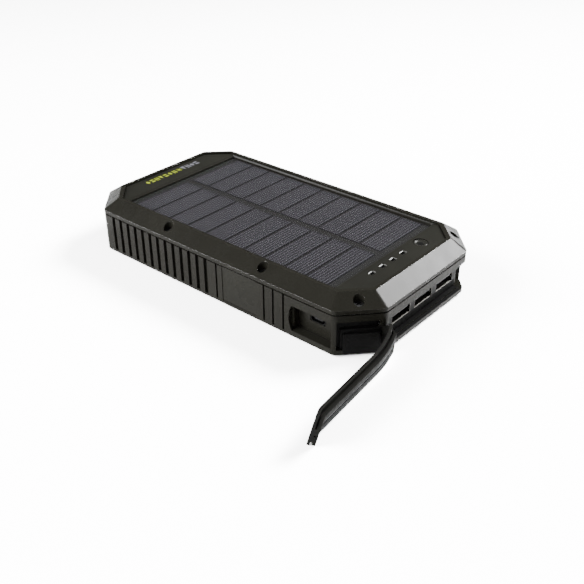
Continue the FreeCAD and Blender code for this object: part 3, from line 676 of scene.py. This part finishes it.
def section(outline, grown):
    """The cross-section, from the narrow neck (0) to full size (1)."""
    shape = []
    for full in outline:
        neck = [NECK_CORNER[i] + (full[i] - SKIN[0][i]) * NECK_SIZE[i] for i in (0, 1)]
        shape.append([n + (f - n) * grown for n, f in zip(neck, full)])
    return rounded(shape, SECTION_CORNER)


def sweep(bm, outline, rings, begins, ends):
    """Draws an outline along the rings; it grows from neck to full size between two distances."""
    loops = []
    for point, turn, line_depth, distance in rings:
        grown = min(1.0, max(0.0, (distance - begins) / (ends - begins)))
        grown = grown * grown * (3 - 2 * grown)
        loop = []
        for depth, z in section(outline, grown):
            offset = Vector(((line_depth - depth) * MM, 0, (z - COVER_MIDDLE) * MM))
            loop.append(bm.verts.new(point + turn @ offset))
        loops.append(loop)
    skin_loops(bm, loops)


def rubber_cover():
    """Five lengths of skin and rib, each from middle to middle across one flex line."""
    path = CoverPath()
    lengths = [(b - a).length / MM for a, b in zip(path.pivots, path.pivots[1:])]
    middles = [ROOT_LENGTH] + [length / 2 for length in lengths] + [TIP_LENGTH]
    for k, node in enumerate(COVER_NODES):
        rings = path.bend(k)
        if middles[k] > BEND_BEFORE[k] + SHORTEST_RUN:
            rings.insert(0, path.straight(k, -middles[k]))
        if middles[k + 1] > BEND_AFTER[k] + SHORTEST_RUN:
            rings.append(path.straight(k, middles[k + 1]))
        bm = bmesh.new()
        sweep(bm, SKIN, rings, *SKIN_GROWS)
        sweep(bm, RIB, rings, *RIB_GROWS)
        obj = piece("port_cover_%d" % (k + 1), bm, RUBBER, None, 40)
        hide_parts(node)
        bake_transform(obj)


root_pad()
rubber_cover()


# ------------------------------------------------------------------ carried-over CAD nodes
CARRIED = {
    "seal_ring": SEAL, "case_screws": SCREW, "solar_tape": TAPE, "solar_board": BACKING,
    "solar_cells": SILICON, "lamp_board": GREEN, "lamps": WHITE, "lamp_cable": BACKING,
    "switch_body": CHIP, "switch_plunger": CHIP, "usb_contacts": BRASS, "micro_usb_shell": DARK_STEEL,
    "micro_usb_tongue": TONGUE, "main_board": GREEN, "micro_board": GREEN, "board_screws": SCREW,
    "board_chips": CHIP, "inductor": CHIP, "capacitors": CAN, "battery_cell_lower": POUCH,
    "battery_cell_upper": POUCH, "battery_pads": FOAM, "battery_leads": LEAD, "solar_leads": LEAD,
}
for number in (1, 2, 3):
    CARRIED["usb_shell_%d" % number] = STEEL
    CARRIED["usb_tongue_%d" % number] = TONGUE
for node, material in CARRIED.items():
    paint(NODES[node], material)


# ------------------------------------------------------------------ camera, light and floor
CAMERA_ANGLES = (40.455, 31.624, -0.149)  # azimuth, elevation and roll
CAMERA_PLACE = (0.22945, -0.25811, 0.19472)
SENSOR_WIDTH = 36.0
LENS_LENGTH = 51.60
FLOOR_HALF = 3.0
WORLD_STRENGTH = 0.36
LIGHT_TARGET = Vector((0, 0, 0.01))


def set_camera():
    azimuth, elevation, roll = (math.radians(v) for v in CAMERA_ANGLES)
    back = Vector((math.sin(azimuth) * math.cos(elevation),
                   -math.cos(azimuth) * math.cos(elevation), math.sin(elevation)))
    level_right = Vector((math.cos(azimuth), math.sin(azimuth), 0))
    level_up = back.cross(level_right)
    right = level_right * math.cos(roll) + level_up * math.sin(roll)
    up = level_up * math.cos(roll) - level_right * math.sin(roll)
    data = bpy.data.cameras.new("camera")
    data.sensor_width = SENSOR_WIDTH
    data.lens = LENS_LENGTH
    camera = bpy.data.objects.new("camera", data)
    matrix = Matrix((right, up, back)).transposed().to_4x4()
    matrix.translation = Vector(CAMERA_PLACE)
    camera.matrix_world = matrix
    bpy.context.scene.collection.objects.link(camera)
    bpy.context.scene.camera = camera


def set_floor():
    mesh = bpy.data.meshes.new("floor")
    corners = [(x * FLOOR_HALF, y * FLOOR_HALF, 0) for x, y in ((-1, -1), (1, -1), (1, 1), (-1, 1))]
    mesh.from_pydata(corners, [], [(0, 1, 2, 3)])
    floor = bpy.data.objects.new("floor", mesh)
    bpy.context.scene.collection.objects.link(floor)
    s = Shader("floor", Roughness=0.6, Specular_IOR_Level=0.2)
    s.colour(s.ramp(s.noise(3.0, 2.0), [(0.0, (0.94, 0.94, 0.94)), (1.0, (0.96, 0.96, 0.96))]))
    paint(floor, s.mat)


def set_world():
    world = bpy.data.worlds.new("world")
    bpy.context.scene.world = world
    world.use_nodes = True
    background = world.node_tree.nodes["Background"]
    background.inputs["Color"].default_value = (1.0, 1.0, 1.0, 1)
    background.inputs["Strength"].default_value = WORLD_STRENGTH


def area_light(name, direction, distance, size, power, spread=180.0):
    """A soft box that faces the object; a small spread, in degrees, keeps its light together."""
    data = bpy.data.lights.new(name, "AREA")
    data.shape = "RECTANGLE"
    data.size, data.size_y = size
    data.energy = power
    data.spread = math.radians(spread)
    lamp = bpy.data.objects.new(name, data)
    way = Vector(direction).normalized()
    lamp.location = LIGHT_TARGET + way * distance
    lamp.rotation_euler = way.to_track_quat("Z", "Y").to_euler()
    bpy.context.scene.collection.objects.link(lamp)


set_camera()
set_floor()
set_world()
area_light("back_softbox", (0.285, 0.735, 0.615), 1.8, (0.68, 0.64), 60.0, 60.0)
area_light("left_strip", (-0.55, -0.69, 0.48), 1.8, (1.3, 1.1), 110.0, 80.0)
area_light("right_softbox", (0.70, -0.30, 0.65), 2.2, (1.6, 1.6), 60.0)
area_light("front_softbox", (0.10, -0.80, 0.60), 2.2, (1.8, 1.2), 40.0)
